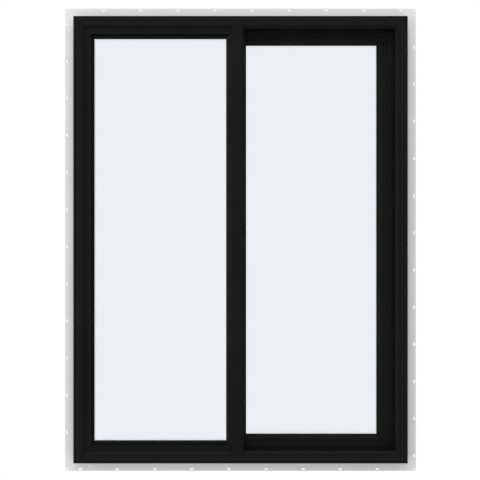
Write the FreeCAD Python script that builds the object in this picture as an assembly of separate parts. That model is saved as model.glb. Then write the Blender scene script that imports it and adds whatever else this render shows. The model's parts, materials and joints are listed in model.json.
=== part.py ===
import os
from collections import namedtuple

import FreeCAD
import Part

os.makedirs("parts", exist_ok=True)

# Horizontal sliding window with a fixed pane on the left and a sliding sash on the right.
# Seen from outside, X is right and Z is up, and Y goes in towards the room.
# Y is zero at the back of the nail fin, and Z is zero halfway up the bottom fin.
# Depths are measured from the front plane of the frame towards the room.
# Insets are measured from the outside edge of the frame, or of the sash, towards its middle.

# Whole window
frame_width = 901.7
frame_height = 1206.5

# Glass units, of two panes each
pane_thickness = 3.0
pane_gap = 9.9
spacer_inset = 0.6
spacer_width = 4.4

# Nail fin around the frame, with slots that start near one corner of each side
fin_setback = 34.9
fin_reach = 28.8
fin_thickness = 1.8
fin_groove_inset = 3.2
fin_groove_width = 1.4
fin_groove_depth = 0.5
slot_length = 9.5
slot_width = 4.0
slot_from_frame = 24.5
slot_pitch = 101.6
slot_from_corner = 12.65
corner_hole_diameter = 5.0

# Frame profile, the same on all four sides
face_width = 25.4
bevel = 6.6
lip_depth = 13.0
channel_floor = 12.0
middle_leg_thickness = 3.5
middle_leg_reach = 47.2
middle_leg_bevel_width = 1.6
middle_leg_bevel_depth = 1.0
inner_leg_thickness = 7.6
inner_leg_reach = 40.0
inner_leg_bevel = 1.5
rib_width = 4.0
rib_height = 8.0

# Fixed panel, seated behind the lip of the frame
panel_face_depth = 5.5
panel_channel_gap = 2.0
panel_rebate = 47.4
panel_pocket = 44.4
panel_glass_depth = 16.0
panel_glass_clearance = 1.5
panel_back_leg_thickness = 2.3
panel_back_leg_lip = 3.6
panel_bead_side = 7.0
panel_bead_end = 11.0
panel_bead_mullion = 15.5
bead_top_depth = 12.0
bead_nose_depth = 13.0
bead_groove_width = 2.2
bead_groove_floor = 14.0

# Fixed meeting stile, which runs from head to sill between the two halves
mullion_left = -23.0
mullion_face_width = 26.4
mullion_back_lip = 11.0

# Hooks of the two meeting stiles, which catch each other when the sash is closed
hook_web_thickness = 2.0
hook_lip_thickness = 1.5
hook_lip_length = 5.0
hook_from_mullion_side = 3.0
hook_clearance = 0.8
hook_overlap = 3.0
hook_end_inset = 50.0

# Sliding sash
sash_overlap = 45.0
sash_width = 50.0
sash_flat = 38.5
sash_slope_depth = 5.5
sash_glass_depth = 9.6
sash_pocket_floor = 34.0
sash_glass_edge = 38.0
sash_front_gap = 2.5
sash_back_gap = 3.0
sash_rib_overlap = 1.4
sash_groove_clearance = 1.0
sash_groove_depth = 8.0
sash_bead_height = 6.3
sash_bead_outer = 31.0
sash_bead_inner = 44.0
sash_bead_flat = 36.5
sash_bead_edge = 2.8
sash_bead_bevel = 0.8

# Pull rail on the stile that the hand moves
pull_stem_outer = 16.0
pull_stem_thickness = 3.0
pull_lip_reach = 30.0
pull_height = 12.0
pull_lip_thickness = 3.0
pull_end_inset = 70.0

# Rollers under the sash
roller_from_end = 90.0
roller_length = 56.0
roller_width = 12.0
roller_height = 23.0
roller_fit = 0.2
wheel_radius = 8.0
wheel_flange_height = 1.6
wheel_flange_thickness = 1.2
wheel_flange_clearance = 0.3
wheel_slot_clearance = 0.3
wheel_slot_room = 2.4
axle_radius = 2.0
axle_fit = 0.05

# Setting blocks under the glass
block_length = 80.0
block_share = 0.25

# Bumpers in the jambs
closing_bumper_length = 14.4
bumper_rib_gap = 2.5
bumper_depth = 10.0
bumper_height = 30.0
bumper_from_end = 120.0
bumper_spare = 0.5

# Pile weatherstrips on the back of the middle leg
pile_from_edge = 1.7
pile_width = 6.0

# Cam lock on the room side of the sash's meeting stile
lock_from_edge = 13.0
lock_width = 22.0
lock_length = 64.0
lock_height = 8.0
lock_bevel = 2.5
lock_end_bevel = 7.5
spindle_radius = 3.5
spindle_fit = 0.1
cam_radius = 6.0
cam_thickness = 3.6
cam_gap = 1.0
cam_reach = 7.3
cam_width = 6.0
lever_length = 46.0
lever_width = 11.0
lever_height = 6.5
lever_knee_share = 0.6
lever_kick = 2.0
lever_cap = 2.0
lever_hub_radius = 9.0
keeper_clearance = 0.2
keeper_height = 4.8
keeper_length = 24.0

# A little more than any cut needs, so that no cut ends on a face
past = 1.0

# Derived depths, one behind the other from the front plane to the room
glass_unit_depth = 2 * pane_thickness + pane_gap
panel_glass_back = panel_glass_depth + glass_unit_depth
middle_leg_front = panel_glass_back + panel_back_leg_thickness
middle_leg_back = middle_leg_front + middle_leg_thickness
sash_front = middle_leg_back + sash_front_gap
sash_glass_front = sash_front + sash_glass_depth
sash_glass_back = sash_glass_front + glass_unit_depth
sash_back = sash_glass_back + sash_bead_height
inner_leg_front = sash_back + sash_back_gap
frame_depth = inner_leg_front + inner_leg_thickness
rib_centre = (sash_front + sash_back) / 2
fin_front = fin_setback - fin_thickness

# Derived places of the frame and the sash
half_width = frame_width / 2
frame_bottom = fin_reach / 2
frame_top = frame_bottom + frame_height
frame_middle = (frame_bottom + frame_top) / 2
bevel_inset = face_width + bevel
mullion_flat_right = mullion_left + mullion_face_width
mullion_side = mullion_flat_right + bevel
mullion_back_left = mullion_left - mullion_back_lip
panel_back_leg = panel_rebate + panel_back_leg_lip
panel_back_reach = channel_floor + panel_channel_gap
sash_left = mullion_side - sash_overlap
sash_right = half_width - channel_floor - closing_bumper_length
sash_end_inset = channel_floor + rib_height - sash_rib_overlap
sash_bottom = frame_bottom + sash_end_inset
sash_top = frame_top - sash_end_inset
Box = namedtuple("Box", "left right bottom top")
frame_box = Box(-half_width, half_width, frame_bottom, frame_top)
sash_box = Box(sash_left, sash_right, sash_bottom, sash_top)


def prism(outline, along, start, end):
    """A straight bar: its outline is pairs of place and depth, and it runs along X or Z."""
    points = []
    for place, depth in outline:
        if along == "z":
            points.append(FreeCAD.Vector(place, depth - fin_setback, start))
        else:
            points.append(FreeCAD.Vector(start, depth - fin_setback, place))
    points.append(points[0])
    run = FreeCAD.Vector(0, 0, end - start) if along == "z" else FreeCAD.Vector(end - start, 0, 0)
    return Part.Face(Part.makePolygon(points)).extrude(run)


def plate(outline, front, back):
    """A flat plate between two depths: its outline is pairs of X and Z."""
    points = [FreeCAD.Vector(x, front - fin_setback, z) for x, z in outline]
    points.append(points[0])
    return Part.Face(Part.makePolygon(points)).extrude(FreeCAD.Vector(0, back - front, 0))


def block(x_low, x_high, front, back, z_low, z_high):
    """A box between two X places, two depths and two heights."""
    corner = FreeCAD.Vector(x_low, front - fin_setback, z_low)
    return Part.makeBox(x_high - x_low, back - front, z_high - z_low, corner)


def box_block(box, front, back):
    """A plate that fills a box between two depths."""
    return block(box.left, box.right, front, back, box.bottom, box.top)


def rod(x, z, front, back, radius):
    """A round bar that runs along the depth."""
    start = FreeCAD.Vector(x, front - fin_setback, z)
    return Part.makeCylinder(radius, back - front, start, FreeCAD.Vector(0, 1, 0))


def inset_box(box, inset):
    """The same box with all four edges moved in."""
    return Box(box.left + inset, box.right - inset, box.bottom + inset, box.top - inset)


# The two sides that each side of a box meets at its corners
neighbours = {
    "left": ("bottom", "top"),
    "right": ("bottom", "top"),
    "bottom": ("left", "right"),
    "top": ("left", "right"),
}


def between(outer, inner, side, share):
    """Where a side lies when it has moved by that share from the outer box to the inner box."""
    start = getattr(outer, side)
    return start + share * (getattr(inner, side) - start)


def ring_side(side, outer, inner, outline):
    """One side of a mitred ring.

    The outline is pairs of inset from the outer box and depth. The mitres lie on the lines
    through the corners of the outer and the inner box, and run on as far as the outline does.
    """
    insets = [inset for inset, depth in outline]
    depths = [depth for inset, depth in outline]
    width = abs(getattr(inner, side) - getattr(outer, side))
    first, last = neighbours[side]
    wedge = []
    for inset, ends in ((min(insets) - past, (first, last)), (max(insets) + past, (last, first))):
        share = inset / width
        for end in ends:
            wedge.append((between(outer, inner, side, share), between(outer, inner, end, share)))
    places = [place for across, place in wedge]
    placed = [(between(outer, inner, side, inset / width), depth) for inset, depth in outline]
    along = "z" if side in ("left", "right") else "x"
    bar = prism(placed, along, min(places) - past, max(places) + past)
    if along == "x":
        wedge = [(place, across) for across, place in wedge]
    return bar.common(plate(wedge, min(depths) - past, max(depths) + past))


def save(name, shape):
    """Write one piece as a clean solid."""
    clean = shape.removeSplitter()
    if clean.ShapeType == "Compound" and len(clean.Solids) == 1:
        clean = clean.Solids[0]
    clean.exportStep("parts/" + name + ".step")


# Slots of the nail fin


def slot_cutter(x, z, along):
    """A round-ended slot through the fin, long along X or Z."""
    front = fin_front - past
    back = fin_setback + past
    radius = slot_width / 2
    shift = slot_length / 2 - radius
    if along == "x":
        bar = block(x - shift, x + shift, front, back, z - radius, z + radius)
        ends = [(x - shift, z), (x + shift, z)]
    else:
        bar = block(x - radius, x + radius, front, back, z - shift, z + shift)
        ends = [(x, z - shift), (x, z + shift)]
    for end_x, end_z in ends:
        bar = bar.fuse(rod(end_x, end_z, front, back, radius))
    return bar


def slot_steps(length):
    """Distances from a frame corner to the middle of each slot along a side of that length."""
    count = 1 + int((length - 2 * slot_from_corner) / slot_pitch)
    return [slot_from_corner + number * slot_pitch for number in range(count)]


slot_x = half_width + slot_from_frame
slot_low = frame_bottom - slot_from_frame
slot_high = frame_top + slot_from_frame
slots = {
    "left": [(-slot_x, frame_top - step, "z") for step in slot_steps(frame_height)],
    "right": [(slot_x, frame_bottom + step, "z") for step in slot_steps(frame_height)],
    "top": [(half_width - step, slot_high, "x") for step in slot_steps(frame_width)],
    "bottom": [(step - half_width, slot_low, "x") for step in slot_steps(frame_width)],
}
corner_holes = []
for hole_x in (-slot_x, slot_x):
    for hole_z in (slot_low, slot_high):
        radius = corner_hole_diameter / 2
        corner_holes.append(rod(hole_x, hole_z, fin_front - past, fin_setback + past, radius))

# Frame with its nail fin
fin_groove_end = fin_groove_inset + fin_groove_width
fin_groove_floor = fin_front + fin_groove_depth
rib_front = rib_centre - rib_width / 2
rib_back = rib_centre + rib_width / 2
rib_inset = channel_floor + rib_height
frame_outline = [
    (0, 0),
    (face_width, 0),
    (bevel_inset, bevel),
    (bevel_inset, lip_depth),
    (channel_floor, lip_depth),
    (channel_floor, middle_leg_front),
    (middle_leg_reach - middle_leg_bevel_width, middle_leg_front),
    (middle_leg_reach, middle_leg_front + middle_leg_bevel_depth),
    (middle_leg_reach, middle_leg_back),
    (channel_floor, middle_leg_back),
    (channel_floor, rib_front),
    (rib_inset, rib_front),
    (rib_inset, rib_back),
    (channel_floor, rib_back),
    (channel_floor, inner_leg_front),
    (inner_leg_reach - inner_leg_bevel, inner_leg_front),
    (inner_leg_reach, inner_leg_front + inner_leg_bevel),
    (inner_leg_reach, frame_depth - inner_leg_bevel),
    (inner_leg_reach - inner_leg_bevel, frame_depth),
    (0, frame_depth),
    (0, fin_setback),
    (-fin_reach, fin_setback),
    (-fin_reach, fin_front),
    (-fin_groove_end, fin_front),
    (-fin_groove_end, fin_groove_floor),
    (-fin_groove_inset, fin_groove_floor),
    (-fin_groove_inset, fin_front),
    (0, fin_front),
]
frame_inner = inset_box(frame_box, face_width)
frame_names = {
    "left": "frame_jamb_left",
    "right": "frame_jamb_right",
    "top": "frame_head",
    "bottom": "frame_sill",
}
for side, name in frame_names.items():
    cutters = [slot_cutter(x, z, along) for x, z, along in slots[side]]
    member = ring_side(side, frame_box, frame_inner, frame_outline)
    save(name, member.cut(Part.makeCompound(cutters + corner_holes)))

# Fixed meeting stile with its hook, cut back around the lips of the head and the sill
mullion_outline = [
    (mullion_left, 0),
    (mullion_flat_right, 0),
    (mullion_side, bevel),
    (mullion_side, middle_leg_front),
    (mullion_back_left, middle_leg_front),
    (mullion_back_left, panel_glass_back),
    (mullion_left, panel_glass_back),
]
mullion_low = frame_bottom + panel_back_reach
mullion_high = frame_top - panel_back_reach
mullion = prism(mullion_outline, "z", mullion_low, mullion_high)
lip_outline = [
    (0, -past),
    (face_width - past, -past),
    (bevel_inset, bevel),
    (bevel_inset, lip_depth),
    (0, lip_depth),
]
for edge, way in ((frame_bottom, 1), (frame_top, -1)):
    lip = [(edge + way * inset, depth) for inset, depth in lip_outline]
    mullion = mullion.cut(prism(lip, "x", mullion_back_left - past, mullion_side + past))

hook_low = frame_bottom + hook_end_inset
hook_high = frame_top - hook_end_inset
hook_back = sash_front - hook_clearance
hook_web_right = mullion_side - hook_from_mullion_side
hook_web_left = hook_web_right - hook_web_thickness
hook_tip = hook_web_left - hook_lip_length
fixed_hook_outline = [
    (hook_web_left, middle_leg_front - past),
    (hook_web_right, middle_leg_front - past),
    (hook_web_right, hook_back),
    (hook_tip, hook_back),
    (hook_tip, hook_back - hook_lip_thickness),
    (hook_web_left, hook_back - hook_lip_thickness),
]
mullion = mullion.fuse(prism(fixed_hook_outline, "z", hook_low, hook_high))
save("fixed_meeting_stile", mullion)

# Other three members of the fixed panel
panel_outline = [
    (face_width + panel_face_depth, panel_face_depth),
    (panel_rebate, panel_face_depth),
    (panel_rebate, panel_glass_depth),
    (panel_pocket, panel_glass_depth),
    (panel_pocket, panel_glass_back),
    (panel_back_leg, panel_glass_back),
    (panel_back_leg, middle_leg_front),
    (panel_back_reach, middle_leg_front),
    (panel_back_reach, lip_depth),
    (bevel_inset, lip_depth),
    (bevel_inset, bevel),
]
stile_room = prism(mullion_outline, "z", frame_bottom, frame_top)
right_of_stile = block(mullion_left, half_width, 0, frame_depth, frame_bottom, frame_top)
save("fixed_jamb_stile", ring_side("left", frame_box, frame_inner, panel_outline))
for side, name in (("top", "fixed_top_rail"), ("bottom", "fixed_bottom_rail")):
    rail = ring_side(side, frame_box, frame_inner, panel_outline)
    save(name, rail.cut(right_of_stile).cut(stile_room))

# Glazing beads of the fixed panel, in front of the glass
panel_opening = Box(
    left=-half_width + panel_rebate,
    right=mullion_left,
    bottom=frame_bottom + panel_rebate,
    top=frame_top - panel_rebate,
)
panel_sight = Box(
    left=panel_opening.left + panel_bead_side,
    right=panel_opening.right - panel_bead_mullion,
    bottom=panel_opening.bottom + panel_bead_end,
    top=panel_opening.top - panel_bead_end,
)

# The bead beside the mullion runs the full height, and the others end against it
mullion_bead_outline = [
    (mullion_left, panel_face_depth),
    (panel_sight.right, bead_nose_depth),
    (panel_sight.right, panel_glass_depth),
    (mullion_left, panel_glass_depth),
]
save("fixed_bead_right", prism(mullion_bead_outline, "z", panel_opening.bottom, panel_opening.top))
right_of_sight = block(panel_sight.right, half_width, 0, frame_depth, frame_bottom, frame_top)
for side, width in (("left", panel_bead_side), ("bottom", panel_bead_end), ("top", panel_bead_end)):
    bead_outline = [
        (0, bead_groove_floor),
        (bead_groove_width, bead_groove_floor),
        (bead_groove_width, bead_top_depth),
        (width, bead_nose_depth),
        (width, panel_glass_depth),
        (0, panel_glass_depth),
    ]
    bead = ring_side(side, panel_opening, panel_sight, bead_outline)
    save("fixed_bead_" + side, bead.cut(right_of_sight))


def glass_unit(prefix, box, front, floor):
    """Two panes with a spacer frame between them, on two setting blocks that stand on the floor."""
    first_back = front + pane_thickness
    second_front = first_back + pane_gap
    back = second_front + pane_thickness
    save(prefix + "_outer_pane", box_block(box, front, first_back))
    save(prefix + "_inner_pane", box_block(box, second_front, back))
    rim = inset_box(box, spacer_inset)
    ring = box_block(rim, first_back, second_front)
    hole = box_block(inset_box(rim, spacer_width), first_back - past, second_front + past)
    save(prefix + "_spacer", ring.cut(hole))
    for name, share in (("left", block_share), ("right", 1 - block_share)):
        centre = box.left + share * (box.right - box.left)
        low = centre - block_length / 2
        high = centre + block_length / 2
        save(prefix + "_setting_block_" + name, block(low, high, front, back, floor, box.bottom))


glass_pocket = Box(
    left=-half_width + panel_pocket,
    right=mullion_left,
    bottom=frame_bottom + panel_pocket,
    top=frame_top - panel_pocket,
)
fixed_glass = inset_box(glass_pocket, panel_glass_clearance)
glass_unit("fixed", fixed_glass, panel_glass_depth, glass_pocket.bottom)

# Sliding sash
sash_outline = [
    (0, sash_front),
    (sash_flat, sash_front),
    (sash_width, sash_front + sash_slope_depth),
    (sash_width, sash_glass_front),
    (sash_pocket_floor, sash_glass_front),
    (sash_pocket_floor, sash_glass_back),
    (sash_bead_outer, sash_glass_back),
    (sash_bead_outer, sash_back),
    (0, sash_back),
]
sash_inner = inset_box(sash_box, sash_width)
groove_front = rib_front - sash_groove_clearance
groove_back = rib_back + sash_groove_clearance
groove_ends = (sash_left - past, sash_right + past)
low_groove = (sash_bottom - past, sash_bottom + sash_groove_depth)
high_groove = (sash_top - sash_groove_depth, sash_top + past)
rib_grooves = Part.makeCompound(
    [
        block(*groove_ends, groove_front, groove_back, *low_groove),
        block(*groove_ends, groove_front, groove_back, *high_groove),
    ]
)


def sash_member(side):
    """One side of the sash, with the grooves that straddle the ribs of the head and the sill."""
    return ring_side(side, sash_box, sash_inner, sash_outline).cut(rib_grooves)


save("sash_top_rail", sash_member("top"))

roller_places = {
    "left": sash_left + roller_from_end,
    "right": sash_right - roller_from_end,
}
roller_front = rib_centre - roller_width / 2
roller_back = rib_centre + roller_width / 2
roller_top = sash_bottom + roller_height
bottom_rail = sash_member("bottom")
for place in roller_places.values():
    low = place - roller_length / 2
    high = place + roller_length / 2
    pocket = block(low, high, roller_front, roller_back, sash_bottom - past, roller_top)
    bottom_rail = bottom_rail.cut(pocket)
save("sash_bottom_rail", bottom_rail)

# Its hook turns the other way and reaches behind the hook of the fixed stile
lock_x = sash_left + lock_from_edge
sash_hook_tip = hook_tip + hook_overlap
sash_hook_web = sash_hook_tip - 2 * hook_lip_length
sash_hook_back = hook_back - hook_lip_thickness - hook_clearance
sash_hook_front = sash_hook_back - hook_lip_thickness
sash_hook_outline = [
    (sash_hook_web, sash_front + past),
    (sash_hook_web, sash_hook_front),
    (sash_hook_tip, sash_hook_front),
    (sash_hook_tip, sash_hook_back),
    (sash_hook_web + hook_web_thickness, sash_hook_back),
    (sash_hook_web + hook_web_thickness, sash_front + past),
]
spindle_bore = spindle_radius + spindle_fit
meeting_stile = sash_member("left").fuse(prism(sash_hook_outline, "z", hook_low, hook_high))
spindle_hole = rod(lock_x, frame_middle, sash_front - past, sash_back + past, spindle_bore)
save("sash_meeting_stile", meeting_stile.cut(spindle_hole))

# Stile that the hand moves, with its pull rail
pull_back = sash_back + pull_height
pull_stem_left = sash_right - pull_stem_outer - pull_stem_thickness
pull_outline = [
    (sash_right - pull_stem_outer, sash_back - past),
    (sash_right - pull_stem_outer, pull_back),
    (sash_right - pull_lip_reach, pull_back),
    (sash_right - pull_lip_reach, pull_back - pull_lip_thickness),
    (pull_stem_left, pull_back - pull_lip_thickness),
    (pull_stem_left, sash_back - past),
]
pull_rail = prism(pull_outline, "z", sash_bottom + pull_end_inset, sash_top - pull_end_inset)
save("sash_pull_stile", sash_member("right").fuse(pull_rail))

# Glazing beads of the sash, on the room side of the glass
sash_bead_box = inset_box(sash_box, sash_bead_outer)
sash_bead_end = inset_box(sash_box, sash_bead_inner)
sash_bead_width = sash_bead_inner - sash_bead_outer
sash_bead_outline = [
    (0, sash_glass_back),
    (sash_bead_width, sash_glass_back),
    (sash_bead_width, sash_glass_back + sash_bead_edge),
    (sash_bead_flat - sash_bead_outer, sash_back),
    (sash_bead_bevel, sash_back),
    (0, sash_back - sash_bead_bevel),
]
for side in neighbours:
    save("sash_bead_" + side, ring_side(side, sash_bead_box, sash_bead_end, sash_bead_outline))

# Sash glass unit
sash_glass = inset_box(sash_box, sash_glass_edge)
glass_unit("sash", sash_glass, sash_glass_front, sash_bottom + sash_pocket_floor)

# Rollers that carry the sash on the rib of the sill
wheel_z = frame_bottom + rib_inset + wheel_radius
flange_radius = wheel_radius + wheel_flange_height
wheel_width = rib_width + 2 * wheel_flange_clearance + 2 * wheel_flange_thickness
wheel_front = rib_centre - wheel_width / 2
wheel_back = rib_centre + wheel_width / 2
housing_front = roller_front + roller_fit
housing_back = roller_back - roller_fit
housing_low = sash_bottom + sash_rib_overlap
for name, place in roller_places.items():
    low = place - roller_length / 2 + roller_fit
    high = place + roller_length / 2 - roller_fit
    housing = block(low, high, housing_front, housing_back, housing_low, roller_top)
    slot_reach = flange_radius + wheel_slot_room
    wheel_slot = block(
        place - slot_reach,
        place + slot_reach,
        wheel_front - wheel_slot_clearance,
        wheel_back + wheel_slot_clearance,
        sash_bottom,
        wheel_z + flange_radius + past,
    )
    rib_channel = block(
        low - past,
        high + past,
        groove_front,
        groove_back,
        sash_bottom,
        sash_bottom + sash_groove_depth / 2,
    )
    axle_bore = rod(place, wheel_z, roller_front, roller_back, axle_radius + axle_fit)
    housing = housing.cut(Part.makeCompound([wheel_slot, rib_channel]))
    save("roller_housing_" + name, housing.cut(axle_bore))
    wheel = rod(place, wheel_z, wheel_front, wheel_back, wheel_radius)
    for front in (wheel_front, wheel_back - wheel_flange_thickness):
        wheel = wheel.fuse(rod(place, wheel_z, front, front + wheel_flange_thickness, flange_radius))
    wheel = wheel.fuse(rod(place, wheel_z, housing_front, housing_back, axle_radius))
    save("roller_wheel_" + name, wheel)

# Cam lock: base and lever on the room side, and a cam in the gap between the meeting stiles
lock_left = lock_x - lock_width / 2
lock_right = lock_x + lock_width / 2
lock_low = frame_middle - lock_length / 2
lock_high = frame_middle + lock_length / 2
lock_back = sash_back + lock_height
lock_outline = [
    (lock_left, sash_back),
    (lock_left, lock_back - lock_bevel),
    (lock_left + lock_bevel, lock_back),
    (lock_right - lock_bevel, lock_back),
    (lock_right, lock_back - lock_bevel),
    (lock_right, sash_back),
]
lock_end_outline = [
    (lock_low, sash_back - past),
    (lock_low, lock_back - lock_end_bevel),
    (lock_low + lock_end_bevel, lock_back),
    (lock_high - lock_end_bevel, lock_back),
    (lock_high, lock_back - lock_end_bevel),
    (lock_high, sash_back - past),
]
lock_base = prism(lock_outline, "z", lock_low, lock_high)
lock_base = lock_base.common(prism(lock_end_outline, "x", lock_left - past, lock_right + past))
lock_bore = rod(lock_x, frame_middle, sash_back - past, lock_back + past, spindle_bore)
save("lock_base", lock_base.cut(lock_bore))

lever_back = lock_back + lever_height
lever_knee = frame_middle + lever_length * lever_knee_share
lever_tip = frame_middle + lever_length
lever_outline = [
    (frame_middle, lock_back),
    (frame_middle, lever_back),
    (lever_knee, lever_back),
    (lever_tip, lever_back + lever_kick),
    (lever_tip, lever_back - lever_kick),
    (lever_knee, lock_back + lever_kick),
    (frame_middle + lever_hub_radius, lock_back),
]
spindle_back = lever_back - lever_cap
lever = prism(lever_outline, "x", lock_x - lever_width / 2, lock_x + lever_width / 2)
lever = lever.fuse(rod(lock_x, frame_middle, lock_back, lever_back, lever_hub_radius))
save("lock_lever", lever.cut(rod(lock_x, frame_middle, lock_back - past, spindle_back, spindle_radius)))

cam_back = sash_front - cam_gap
cam_front = cam_back - cam_thickness
cam_tip = lock_x - cam_reach
cam_low = frame_middle - cam_width / 2
cam_high = frame_middle + cam_width / 2
cam = rod(lock_x, frame_middle, cam_front, cam_back, cam_radius)
cam = cam.fuse(block(cam_tip, lock_x, cam_front, cam_back, cam_low, cam_high))
cam = cam.fuse(rod(lock_x, frame_middle, cam_front, spindle_back, spindle_radius))
save("lock_cam", cam)

keeper_low = frame_middle - keeper_length / 2
keeper_high = frame_middle + keeper_length / 2
keeper_back = middle_leg_front + keeper_height
keeper_right = cam_tip - keeper_clearance
keeper = block(mullion_back_left, keeper_right, middle_leg_front, keeper_back, keeper_low, keeper_high)
save("lock_keeper", keeper)

# Bumpers: the sash closes against the right ones, and opens as far as the left ones,
# which stop it before its cam reaches the middle leg of the jamb
bumper_front = rib_back + bumper_rib_gap
bumper_back = bumper_front + bumper_depth
travel_bumper_reach = middle_leg_reach - (cam_tip - sash_left) + bumper_spare
travel_left = -half_width + channel_floor
travel_right = -half_width + travel_bumper_reach
bumper_lows = {
    "bottom": frame_bottom + bumper_from_end,
    "top": frame_top - bumper_from_end - bumper_height,
}
for name, low in bumper_lows.items():
    high = low + bumper_height
    closing = block(sash_right, half_width - channel_floor, bumper_front, bumper_back, low, high)
    save("closing_bumper_" + name, closing)
    travel = block(travel_left, travel_right, bumper_front, bumper_back, low, high)
    save("travel_bumper_" + name, travel)

# Pile weatherstrips between the middle leg and the front of the sash
pile_near = middle_leg_reach - pile_from_edge
pile_far = pile_near - pile_width
pile_rows = {
    "weatherstrip_sill": (frame_bottom + pile_far, frame_bottom + pile_near),
    "weatherstrip_head": (frame_top - pile_near, frame_top - pile_far),
}
pile_right = half_width - pile_far
for name, (low, high) in pile_rows.items():
    save(name, block(sash_left, half_width - pile_near, middle_leg_back, sash_front, low, high))
pile_low = frame_bottom + pile_far
pile_high = frame_top - pile_far
save(
    "weatherstrip_jamb",
    block(half_width - pile_near, pile_right, middle_leg_back, sash_front, pile_low, pile_high),
)
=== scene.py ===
import json
import math
import random

import bmesh
import bpy
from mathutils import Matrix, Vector


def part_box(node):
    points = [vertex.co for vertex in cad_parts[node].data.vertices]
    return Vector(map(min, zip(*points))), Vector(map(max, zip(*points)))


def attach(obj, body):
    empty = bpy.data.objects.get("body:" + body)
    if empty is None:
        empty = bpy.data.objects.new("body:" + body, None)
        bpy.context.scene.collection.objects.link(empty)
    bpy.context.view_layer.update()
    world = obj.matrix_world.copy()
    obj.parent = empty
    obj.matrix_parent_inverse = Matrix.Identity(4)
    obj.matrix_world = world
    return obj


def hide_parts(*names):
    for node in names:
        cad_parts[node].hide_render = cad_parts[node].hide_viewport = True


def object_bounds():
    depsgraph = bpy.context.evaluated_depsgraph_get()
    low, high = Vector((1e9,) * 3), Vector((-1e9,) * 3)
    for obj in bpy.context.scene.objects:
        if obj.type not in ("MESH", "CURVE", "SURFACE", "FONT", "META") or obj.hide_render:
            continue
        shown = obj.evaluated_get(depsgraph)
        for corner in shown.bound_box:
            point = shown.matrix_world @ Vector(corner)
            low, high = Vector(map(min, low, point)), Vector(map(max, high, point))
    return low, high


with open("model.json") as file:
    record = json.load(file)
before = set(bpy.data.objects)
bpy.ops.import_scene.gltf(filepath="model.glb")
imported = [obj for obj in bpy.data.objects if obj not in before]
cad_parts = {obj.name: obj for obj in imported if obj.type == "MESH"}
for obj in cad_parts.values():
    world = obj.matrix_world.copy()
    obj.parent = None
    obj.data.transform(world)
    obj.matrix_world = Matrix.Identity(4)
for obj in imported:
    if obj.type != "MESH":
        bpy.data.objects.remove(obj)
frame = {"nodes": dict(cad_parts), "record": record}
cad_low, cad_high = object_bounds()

# Lengths are in metres. X is right and Y goes in towards the room, seen from outside, and Z is up.

nodes = frame["nodes"]
slot_of = {part["node"]: part["material_slot"] for part in frame["record"]["subparts"]}
mounts = {mount["name"]: Vector(mount["pos_m"]) for mount in frame["record"]["mounts"]}

# Places that the finish depends on
centre = (cad_low + cad_high) / 2
fin_back = mounts["fin_back"].y
fin_reach = mounts["sill_underside"].z - cad_low.z
frame_half_width = cad_high.x - fin_reach
frame_half_height = (cad_high.z - cad_low.z) / 2 - fin_reach
leg_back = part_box("weatherstrip_sill")[0].y
fixed_glass_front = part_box("fixed_outer_pane")[0].y
fixed_glass_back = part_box("fixed_inner_pane")[1].y
sash_glass_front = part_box("sash_outer_pane")[0].y
sash_glass_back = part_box("sash_inner_pane")[1].y


def upright(name):
    """Whether a node is taller than it is wide."""
    low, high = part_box(name)
    return high.z - low.z > high.x - low.x


# Node trees

# Sockets of a Mix node that mixes colours
mix_first = 6
mix_second = 7
mix_result = 2

# A noise stays mostly between these
noise_low = 0.3
noise_high = 0.7

stretched_scale = 0.02


class Nodes:
    """The node tree of a material or of the world, emptied, with short calls for what they share."""

    def __init__(self, owner):
        owner.use_nodes = True
        self.tree = owner.node_tree
        self.tree.nodes.clear()

    def add(self, kind, **settings):
        new = self.tree.nodes.new("ShaderNode" + kind)
        for key, value in settings.items():
            setattr(new, key, value)
        return new

    def join(self, value, socket):
        """Links an output to a socket, or sets the socket's own value."""
        if isinstance(value, bpy.types.NodeSocket):
            self.tree.links.new(value, socket)
        elif socket.type == "RGBA":
            socket.default_value = (*value, 1.0)
        else:
            socket.default_value = value

    def calc(self, operation, first, second=0.0):
        new = self.add("Math", operation=operation)
        self.join(first, new.inputs[0])
        self.join(second, new.inputs[1])
        return new.outputs[0]

    def mean(self, first, second):
        return self.calc("MULTIPLY", self.calc("ADD", first, second), 0.5)

    def spread(self, value, source, target, **settings):
        """Carries a value from one range over to another."""
        new = self.add("MapRange", **settings)
        self.join(value, new.inputs["Value"])
        for side, number in zip(("From Min", "From Max", "To Min", "To Max"), (*source, *target)):
            new.inputs[side].default_value = number
        return new.outputs["Result"]

    def mix_shaders(self, share, first, second):
        new = self.add("MixShader")
        self.join(share, new.inputs[0])
        self.join(first, new.inputs[1])
        self.join(second, new.inputs[2])
        return new.outputs[0]

    def seen(self, path):
        """One for what the camera sees, also in gloss and through glass, and otherwise zero."""
        either = self.calc("MAXIMUM", path.outputs["Is Camera Ray"], path.outputs["Is Glossy Ray"])
        return self.calc("MAXIMUM", either, path.outputs["Is Transmission Ray"])


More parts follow.
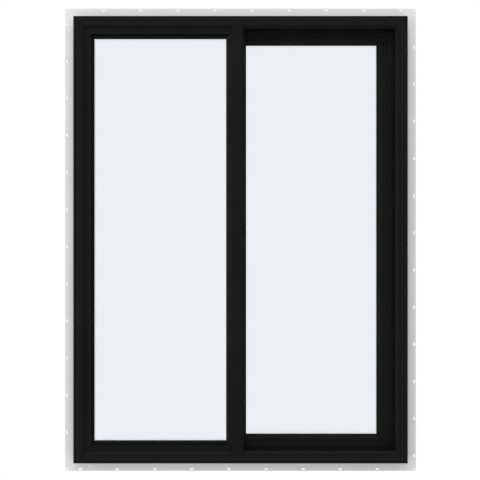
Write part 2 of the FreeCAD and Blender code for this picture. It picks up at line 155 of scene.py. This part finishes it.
class Look(Nodes):
    """A material with one surface shader, and the patterns that the looks share."""

    def __init__(self, name):
        self.material = bpy.data.materials.new(name)
        super().__init__(self.material)
        self.output = self.add("OutputMaterial")
        self.surface = self.add("BsdfPrincipled")
        self.join(self.surface.outputs["BSDF"], self.output.inputs["Surface"])
        self.place = self.add("TexCoord").outputs["Object"]
        self.normal = None

    def set(self, **values):
        """Sets the surface shader's sockets by name, with _ for a space."""
        for key, value in values.items():
            self.join(value, self.surface.inputs[key.replace("_", " ")])

    def axis(self, letter):
        """One coordinate of the place on the surface."""
        split = self.add("SeparateXYZ")
        self.join(self.place, split.inputs[0])
        return split.outputs[letter.upper()]

    def noise(self, per_metre, detail=2.0, along=None):
        """Soft random variation from 0 to 1, in waves to the metre, drawn out along an axis if given."""
        scaled = self.add("Mapping")
        self.join(self.place, scaled.inputs["Vector"])
        stretch = [stretched_scale if letter == along else 1.0 for letter in "xyz"]
        scaled.inputs["Scale"].default_value = [per_metre * share for share in stretch]
        new = self.add("TexNoise")
        self.join(scaled.outputs[0], new.inputs["Vector"])
        new.inputs["Scale"].default_value = 1.0
        new.inputs["Detail"].default_value = detail
        return new.outputs["Fac"]

    def remap(self, value, low, high):
        """The middle of a noise, spread from low to high."""
        return self.spread(value, (noise_low, noise_high), (low, high))

    def mix(self, share, first, second):
        new = self.add("Mix", data_type="RGBA")
        self.join(share, new.inputs["Factor"])
        self.join(first, new.inputs[mix_first])
        self.join(second, new.inputs[mix_second])
        return new.outputs[mix_result]

    def clouded(self, pattern, first, second):
        """A colour that drifts between two as a noise does."""
        return self.mix(self.remap(pattern, 0.0, 1.0), first, second)

    def bump(self, height, strength, distance):
        """Adds relief on top of the relief so far."""
        new = self.add("Bump")
        self.join(height, new.inputs["Height"])
        new.inputs["Strength"].default_value = strength
        new.inputs["Distance"].default_value = distance
        if self.normal is not None:
            self.join(self.normal, new.inputs["Normal"])
        self.normal = new.outputs[0]
        self.set(Normal=self.normal)


# Vinyl

# Colours are shares of light sent back, and a drift makes them darker and lighter in places
black_vinyl = (0.0091, 0.0090, 0.0086)
black_drift = (0.86, 1.14)
black_rough = (0.40, 0.50)
white_vinyl = (0.776, 0.786, 0.771)
white_drift = (0.975, 1.02)
white_rough = (0.34, 0.42)

# How deep the black reaches on each part, with a margin that keeps faces at that depth in one colour
depth_margin = 0.0001
black_until = {
    "frame": leg_back - depth_margin,
    "fixed": fixed_glass_back + depth_margin,
    "sash": sash_glass_front + depth_margin,
}

# The margin at the frame's outer walls, which are black in front of the fin and white behind it
wall_margin = 0.0003


def drifting(look, pattern, colour, drift):
    """A colour that goes from darker to lighter as a noise does."""
    darker, lighter = [tuple(part * share for part in colour) for share in drift]
    return look.clouded(pattern, darker, lighter)


def white_places(look, until, fin):
    """One where vinyl is white: behind a depth, and on a fin and the outer walls behind it."""
    inside = look.calc("GREATER_THAN", look.axis("y"), until)
    if not fin:
        return inside
    behind = look.calc("GREATER_THAN", look.axis("y"), fin_back)
    margin = look.calc("SUBTRACT", wall_margin, look.calc("MULTIPLY", behind, 2 * wall_margin))
    across = look.calc("ABSOLUTE", look.axis("x"))
    over = look.calc("ABSOLUTE", look.calc("SUBTRACT", look.axis("z"), centre.z))
    beside = look.calc("GREATER_THAN", look.calc("SUBTRACT", across, margin), frame_half_width)
    above = look.calc("GREATER_THAN", look.calc("SUBTRACT", over, margin), frame_half_height)
    return look.calc("MAXIMUM", inside, look.calc("MAXIMUM", beside, above))


def vinyl(name, along, until, fin):
    """Extruded vinyl: black outside and white towards the room, or all white where no depth is given."""
    look = Look(name)
    cloud = look.noise(per_metre=14.0, detail=3.0)
    streak = look.noise(per_metre=420.0, along=along)
    grain = look.noise(per_metre=1500.0)
    tone = look.mean(cloud, streak)
    colour = drifting(look, tone, white_vinyl, white_drift)
    rough = white_rough
    if until is not None:
        black = drifting(look, tone, black_vinyl, black_drift)
        colour = look.mix(white_places(look, until, fin), black, colour)
        rough = black_rough
    look.set(Base_Color=colour, Roughness=look.remap(grain, *rough), Specular_IOR_Level=0.03)
    look.bump(streak, strength=0.10, distance=0.0004)
    look.bump(grain, strength=0.10, distance=0.0002)
    return look.material


vinyl_looks = {}


def vinyl_for(name):
    """The vinyl of a node: it runs along the node, and the part sets where black ends."""
    along = "z" if upright(name) else "x"
    kind = "room" if name.startswith("sash_bead") else name.split("_")[0]
    key = kind + "_vinyl_" + along
    if key not in vinyl_looks:
        vinyl_looks[key] = vinyl(key, along, until=black_until.get(kind), fin=(kind == "frame"))
    return vinyl_looks[key]


# The other materials


def clear_glass():
    """Float glass with a faint tint, which lets lamps through."""
    look = Look("clear_glass")
    wave = look.noise(per_metre=5.0, detail=1.0)
    look.set(Base_Color=look.clouded(wave, (0.905, 0.925, 0.942), (0.909, 0.928, 0.944)))
    look.set(Roughness=0.0, IOR=1.5, Transmission_Weight=1.0)
    look.bump(wave, strength=0.02, distance=0.0002)
    lamp = look.add("BsdfTransparent")
    look.join((0.86, 0.89, 0.90), lamp.inputs["Color"])
    shadow = look.add("LightPath").outputs["Is Shadow Ray"]
    both = look.mix_shaders(shadow, look.surface.outputs["BSDF"], lamp.outputs[0])
    look.join(both, look.output.inputs["Surface"])
    return look.material


def spacer_bar():
    """Dark metal spacer with rows of breathing holes."""
    holes_per_metre = 280.0
    hole_share = 0.16
    look = Look("spacer_bar")
    holes = look.add("TexVoronoi", feature="F1")
    look.join(look.place, holes.inputs["Vector"])
    holes.inputs["Scale"].default_value = holes_per_metre
    holes.inputs["Randomness"].default_value = 0.0
    near = look.calc("LESS_THAN", holes.outputs["Distance"], hole_share)
    grain = look.noise(per_metre=900.0)
    look.set(Base_Color=look.mix(near, (0.030, 0.030, 0.032), (0.004, 0.004, 0.004)))
    look.set(Roughness=look.remap(grain, low=0.38, high=0.5), Metallic=0.6)
    look.bump(near, strength=0.4, distance=-0.0002)
    return look.material


def soft_rubber():
    look = Look("soft_rubber")
    grain = look.noise(per_metre=2200.0, detail=3.0)
    look.set(Base_Color=look.clouded(grain, (0.006, 0.006, 0.006), (0.014, 0.014, 0.013)))
    look.set(Roughness=look.remap(grain, low=0.66, high=0.82), Specular_IOR_Level=0.2)
    look.bump(grain, strength=0.2, distance=0.0001)
    return look.material


def nylon():
    look = Look("nylon")
    cloud = look.noise(per_metre=220.0)
    grain = look.noise(per_metre=1800.0)
    look.set(Base_Color=look.clouded(cloud, (0.62, 0.61, 0.57), (0.70, 0.69, 0.65)))
    look.set(Roughness=look.remap(cloud, low=0.42, high=0.52), Specular_IOR_Level=0.4)
    look.bump(grain, strength=0.08, distance=0.0001)
    return look.material


def metal(name, dull, bright, smoothest, roughest, along):
    """Bare metal with fine scratches along one axis."""
    look = Look(name)
    scratch = look.noise(per_metre=2500.0, detail=3.0, along=along)
    look.set(Base_Color=look.clouded(scratch, dull, bright), Metallic=1.0)
    look.set(Roughness=look.remap(scratch, smoothest, roughest))
    look.bump(scratch, strength=0.15, distance=0.00005)
    return look.material


def zinc_plate():
    return metal("zinc_plate", (0.46, 0.47, 0.49), (0.62, 0.63, 0.65), 0.30, 0.42, along="x")


def turned_brass():
    return metal("turned_brass", (0.62, 0.43, 0.17), (0.80, 0.60, 0.28), 0.26, 0.38, along="y")


def painted_metal():
    look = Look("painted_metal")
    cloud = look.noise(per_metre=90.0)
    peel = look.noise(per_metre=700.0)
    look.set(Base_Color=look.clouded(cloud, (0.76, 0.765, 0.75), (0.79, 0.795, 0.78)))
    look.set(Roughness=look.remap(peel, low=0.26, high=0.34), Specular_IOR_Level=0.45)
    look.bump(peel, strength=0.12, distance=0.0001)
    return look.material


def pile_fibre():
    look = Look("pile_fibre")
    tuft = look.noise(per_metre=1600.0, detail=1.0)
    look.set(Base_Color=look.clouded(tuft, (0.10, 0.10, 0.105), (0.26, 0.26, 0.27)))
    look.set(Roughness=look.remap(tuft, low=0.8, high=0.95), Sheen_Weight=0.3)
    look.bump(tuft, strength=0.3, distance=0.0002)
    return look.material


by_slot = {
    "glass": clear_glass(),
    "rubber": soft_rubber(),
    "zinc": zinc_plate(),
    "brass": turned_brass(),
    "pile": pile_fibre(),
    "spacer": spacer_bar(),
    "nylon": nylon(),
    "lock_metal": painted_metal(),
}


def dress(name):
    """Gives a node its finish in place of the plain one."""
    mesh = nodes[name].data
    mesh.materials.clear()
    mesh.materials.append(by_slot.get(slot_of[name]) or vinyl_for(name))


# Soft edges on the nodes, by modifiers alone

# Each edge is a width and a number of steps
glass_edge = (0.0004, 1)
small_edge = (0.0002, 2)
groove_edge = (0.00024, 3)
sash_edge = (0.0004, 3)
plain_edge = (0.0006, 3)

join_distance = 0.00001
flat_turn = 0.5
edge_turn = 25.0


def edge_for(name):
    """The edge of a node, narrow where its shape has small steps."""
    if slot_of[name] == "glass":
        return glass_edge
    if slot_of[name] in ("pile", "zinc", "spacer", "nylon", "brass"):
        return small_edge
    if name == "lock_base" or name.startswith("frame_"):
        return groove_edge
    if name.startswith("sash_"):
        return sash_edge
    return plain_edge


def soften(name):
    """Joins the facets of a node's flat faces, then rounds the edges between them."""
    piece = nodes[name]
    weld = piece.modifiers.new("join_points", "WELD")
    weld.merge_threshold = join_distance
    flat = piece.modifiers.new("join_flat_facets", "DECIMATE")
    flat.decimate_type = "DISSOLVE"
    flat.angle_limit = math.radians(flat_turn)
    rounding = piece.modifiers.new("round_edges", "BEVEL")
    rounding.width, rounding.segments = edge_for(name)
    rounding.limit_method = "ANGLE"
    rounding.angle_limit = math.radians(edge_turn)
    rounding.use_clamp_overlap = False
    rounding.loop_slide = False
    rounding.harden_normals = True


for name in nodes:
    dress(name)
    soften(name)


# Meshes made here

sharp_turn = 40.0


def new_piece(name, bm, slot, smooth=True):
    """Turns a mesh under construction into a piece that rides on the window."""
    bmesh.ops.recalc_face_normals(bm, faces=bm.faces)
    mesh = bpy.data.meshes.new(name)
    bm.to_mesh(mesh)
    bm.free()
    for face in mesh.polygons:
        face.use_smooth = smooth
    mesh.set_sharp_from_angle(angle=math.radians(sharp_turn))
    mesh.materials.append(by_slot[slot])
    piece = bpy.data.objects.new(name, mesh)
    bpy.context.scene.collection.objects.link(piece)
    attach(piece, "root")
    return piece


# Seals between the glass and what holds it

gasket_width_outside = 0.0006
gasket_width_room = 0.0009
gasket_height = 0.0011
gasket_steps = 5


def ring(bm, low_x, high_x, low_z, high_z, profile):
    """A closed profile of inset and depth, carried round a rectangle with mitred corners."""
    corners = (
        (low_x, low_z, 1, 1),
        (high_x, low_z, -1, 1),
        (high_x, high_z, -1, -1),
        (low_x, high_z, 1, -1),
    )
    rows = []
    for x, z, way_x, way_z in corners:
        row = []
        for inset, depth in profile:
            row.append(bm.verts.new((x + way_x * inset, depth, z + way_z * inset)))
        rows.append(row)
    for row, after in zip(rows, rows[1:] + rows[:1]):
        for here in range(len(profile)):
            there = (here + 1) % len(profile)
            bm.faces.new((row[here], row[there], after[there], after[here]))


def gasket(name, opening, glass_face, way):
    """A soft seal in the corner between the glass and what holds it: a quarter round."""
    width = gasket_width_room if way > 0 else gasket_width_outside
    profile = [(0.0, glass_face)]
    for step in range(gasket_steps + 1):
        turn = math.pi / 2 * step / gasket_steps
        profile.append((width * math.cos(turn), glass_face + way * gasket_height * math.sin(turn)))
    bm = bmesh.new()
    ring(bm, *opening, profile)
    new_piece(name, bm, "rubber")


def opening_inside(left, right, bottom, top):
    """The rectangle that four nodes leave between them."""
    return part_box(left)[1].x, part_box(right)[0].x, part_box(bottom)[1].z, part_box(top)[0].z


fixed_sight = opening_inside("fixed_bead_left", "fixed_bead_right", "fixed_bead_bottom", "fixed_bead_top")
fixed_back = opening_inside("fixed_jamb_stile", "fixed_meeting_stile", "fixed_bottom_rail", "fixed_top_rail")
sash_sight = opening_inside("sash_meeting_stile", "sash_pull_stile", "sash_bottom_rail", "sash_top_rail")
sash_back = opening_inside("sash_bead_left", "sash_bead_right", "sash_bead_bottom", "sash_bead_top")
gasket("fixed_gasket_outside", fixed_sight, fixed_glass_front, way=-1)
gasket("fixed_gasket_room", fixed_back, fixed_glass_back, way=1)
gasket("sash_gasket_outside", sash_sight, sash_glass_front, way=-1)
gasket("sash_gasket_room", sash_back, sash_glass_back, way=1)


# Brush seals

backing_depth = 0.0007
tuft_pitch = 0.0006
tuft_radius = 0.00028
tuft_sides = 3
tuft_lean = 0.00018
tuft_trim = 0.0003
tuft_rows = 9

# In tufts of a row, and in rows
row_stagger = 0.25
row_margin = 0.75


def pile_strip(node):
    """Brush seal: a thin backing with rows of short tufts that reach from it to the sash."""
    draw = random.Random(len(node))
    low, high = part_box(node)
    rises = upright(node)
    start, end = (low.z, high.z) if rises else (low.x, high.x)
    near, far = (low.x, high.x) if rises else (low.z, high.z)
    root = low.y + backing_depth

    def point(along, across, depth):
        return (across, depth, along) if rises else (along, depth, across)

    verts = []
    for depth in (low.y, root):
        for along, across in ((start, near), (end, near), (end, far), (start, far)):
            verts.append(point(along, across, depth))
    faces = [(0, 1, 2, 3), (7, 6, 5, 4), (0, 4, 5, 1), (1, 5, 6, 2), (2, 6, 7, 3), (3, 7, 4, 0)]
    count = int((end - start) / tuft_pitch)
    row_pitch = (far - near) / (tuft_rows - 1 + 2 * row_margin)
    for row in range(tuft_rows):
        across = near + row_pitch * (row + row_margin)
        for number in range(1, count):
            along = start + tuft_pitch * (number + row_stagger * (row % 2))
            turn = draw.uniform(0.0, math.tau)
            first = len(verts)
            for corner in range(tuft_sides):
                way = turn + math.tau * corner / tuft_sides
                foot_along = along + tuft_radius * math.sin(way)
                foot_across = across + tuft_radius * math.cos(way)
                verts.append(point(foot_along, foot_across, root - backing_depth / 2))
                faces.append((first + corner, first + (corner + 1) % tuft_sides, first + tuft_sides))
            faces.append(tuple(reversed(range(first, first + tuft_sides))))
            tip = high.y - draw.uniform(0.0, tuft_trim)
            lean = draw.uniform(-tuft_lean, tuft_lean)
            verts.append(point(along + lean, across + draw.uniform(-tuft_lean, tuft_lean), tip))
    mesh = bpy.data.meshes.new(node + "_tufts")
    mesh.from_pydata(verts, [], faces)
    bm = bmesh.new()
    bm.from_mesh(mesh)
    bpy.data.meshes.remove(mesh)
    piece = new_piece(node + "_tufts", bm, "pile", smooth=False)
    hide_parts(node)


for node in ("weatherstrip_sill", "weatherstrip_head", "weatherstrip_jamb"):
    pile_strip(node)


# Screws of the lock

screw_radius = 0.003
screw_height = 0.0008
screw_offset = 0.0205
screw_steps = 40
recess_floor = 0.00025
recess_reach = 0.0013
recess_half = 0.00042
recess_taper = 0.8

# Shares of the radius and of the height, from the seat up
head_profile = ((1.0, 0.0), (0.98, 0.3), (0.9, 0.62), (0.78, 0.86), (0.65, 1.0))

# Cosine and sine of each quarter turn
quarter_turns = ((1, 0), (0, 1), (-1, 0), (0, -1))


def cross_outline(half, reach):
    """The twelve corners of a cross: three of one arm, turned a quarter at a time."""
    points = []
    for cosine, sine in quarter_turns:
        for across, up in ((half, half), (half, reach), (-half, reach)):
            points.append((across * cosine - up * sine, across * sine + up * cosine))
    return points


def lock_screw(name, x, z, seat):
    """A low round screw head with a cross recess, on a flat seat that faces the room."""
    bm = bmesh.new()
    loops = []
    for share, rise in head_profile:
        loop = []
        for step in range(screw_steps):
            turn = math.tau * step / screw_steps
            across = screw_radius * share * math.cos(turn)
            up = screw_radius * share * math.sin(turn)
            loop.append(bm.verts.new((x + across, seat + screw_height * rise, z + up)))
        loops.append(loop)
    bm.faces.new(loops[0])
    for outer, inner in zip(loops, loops[1:]):
        for step in range(screw_steps):
            after = (step + 1) % screw_steps
            bm.faces.new((outer[step], outer[after], inner[after], inner[step]))
    cross = cross_outline(recess_half, recess_reach)
    top = [bm.verts.new((x + across, seat + screw_height, z + up)) for across, up in cross]
    cross = [(across * recess_taper, up * recess_taper) for across, up in cross]
    deep = [bm.verts.new((x + across, seat + recess_floor, z + up)) for across, up in cross]
    rims = []
    for loop in (loops[-1], top):
        for vert, after in zip(loop, loop[1:] + loop[:1]):
            rims.append(bm.edges.get((vert, after)) or bm.edges.new((vert, after)))
    bmesh.ops.triangle_fill(bm, use_beauty=True, edges=rims)
    for step in range(len(top)):
        after = (step + 1) % len(top)
        bm.faces.new((top[step], top[after], deep[after], deep[step]))
    bm.faces.new(deep)
    new_piece(name, bm, "zinc", smooth=False)


lock_low, lock_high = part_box("lock_base")
lock_middle = (lock_low + lock_high) / 2
lock_screw("lock_screw_low", lock_middle.x, lock_middle.z - screw_offset, lock_high.y)
lock_screw("lock_screw_high", lock_middle.x, lock_middle.z + screw_offset, lock_high.y)


# Stage: floor, light and camera

floor_drop = 0.9
floor_radius = 3.0
floor_clear = 1.6
floor_sides = 96
floor_colour = (0.42, 0.42, 0.42)
floor_glow = 0.66

# The light from all round, where it isn't seen itself
ambient = 0.66

# A lamp's name, its way from the window and its power in watts
lamps = (
    ("top", Vector((0.0, -0.50, 0.866)), 88.0),
    ("left", Vector((-0.940, -0.342, 0.0)), 58.0),
    ("room", Vector((0.4, 0.75, 0.53)), 38.0),
)
lamp_distance = 4.5
lamp_size = 2.4

camera_place = (-0.00137, -2.2849, 0.61685)
camera_lens = 62.595
camera_sensor = 36.0
camera_turn = 90.0


def floor():
    """A round pale floor whose rim fades out. It shows white to the camera and keeps the shadow."""
    bm = bmesh.new()
    bmesh.ops.create_circle(bm, cap_ends=True, segments=floor_sides, radius=floor_radius)
    mesh = bpy.data.meshes.new("floor")
    bm.to_mesh(mesh)
    bm.free()
    plane = bpy.data.objects.new("floor", mesh)
    plane.location = (centre.x, centre.y, cad_low.z - floor_drop)
    bpy.context.scene.collection.objects.link(plane)
    look = Look("floor")
    look.set(Base_Color=(0.9, 0.9, 0.9), Roughness=0.9, Specular_IOR_Level=0.1)
    lit = look.add("BsdfDiffuse")
    look.join(floor_colour, lit.inputs["Color"])
    glow = look.add("Emission")
    look.join(floor_glow, glow.inputs["Strength"])
    shown = look.add("AddShader")
    look.join(lit.outputs[0], shown.inputs[0])
    look.join(glow.outputs[0], shown.inputs[1])
    seen = look.seen(look.add("LightPath"))
    both = look.mix_shaders(seen, look.surface.outputs["BSDF"], shown.outputs[0])
    reach = look.add("VectorMath", operation="LENGTH")
    look.join(look.place, reach.inputs[0])
    rim = (floor_clear, floor_radius)
    fade = look.spread(reach.outputs["Value"], rim, (0.0, 1.0), interpolation_type="SMOOTHSTEP")
    clear = look.add("BsdfTransparent")
    look.join(look.mix_shaders(fade, both, clear.outputs[0]), look.output.inputs["Surface"])
    mesh.materials.append(look.material)


def lamp(name, way, power):
    """A soft round lamp that faces the middle of the window."""
    light = bpy.data.lights.new(name, "AREA")
    light.shape = "DISK"
    light.size = lamp_size
    light.energy = power
    holder = bpy.data.objects.new(name, light)
    holder.location = centre + way * lamp_distance
    holder.rotation_euler = (-way).to_track_quat("-Z", "Y").to_euler()
    bpy.context.scene.collection.objects.link(holder)


def studio():
    """An even grey light from all round, which is white where it is seen, also in or through glass."""
    no_bounce = 0.5
    world = bpy.data.worlds.new("studio")
    light = Nodes(world)
    path = light.add("LightPath")
    direct = light.calc("LESS_THAN", path.outputs["Diffuse Depth"], no_bounce)
    seen = light.calc("MULTIPLY", light.seen(path), direct)
    sky = light.add("Background")
    light.join((1.0, 1.0, 1.0), sky.inputs["Color"])
    light.join(light.spread(seen, (0.0, 1.0), (ambient, 1.0)), sky.inputs["Strength"])
    light.join(sky.outputs[0], light.add("OutputWorld").inputs["Surface"])
    bpy.context.scene.world = world


def camera():
    """Straight on, from outside, as in the photograph."""
    lens = bpy.data.cameras.new("camera")
    lens.lens = camera_lens
    lens.sensor_width = camera_sensor
    holder = bpy.data.objects.new("camera", lens)
    holder.location = camera_place
    holder.rotation_euler = (math.radians(camera_turn), 0.0, 0.0)
    bpy.context.scene.collection.objects.link(holder)
    bpy.context.scene.camera = holder


floor()
for name, way, power in lamps:
    lamp(name, way, power)
studio()
camera()
bpy.context.scene.view_settings.view_transform = "Standard"
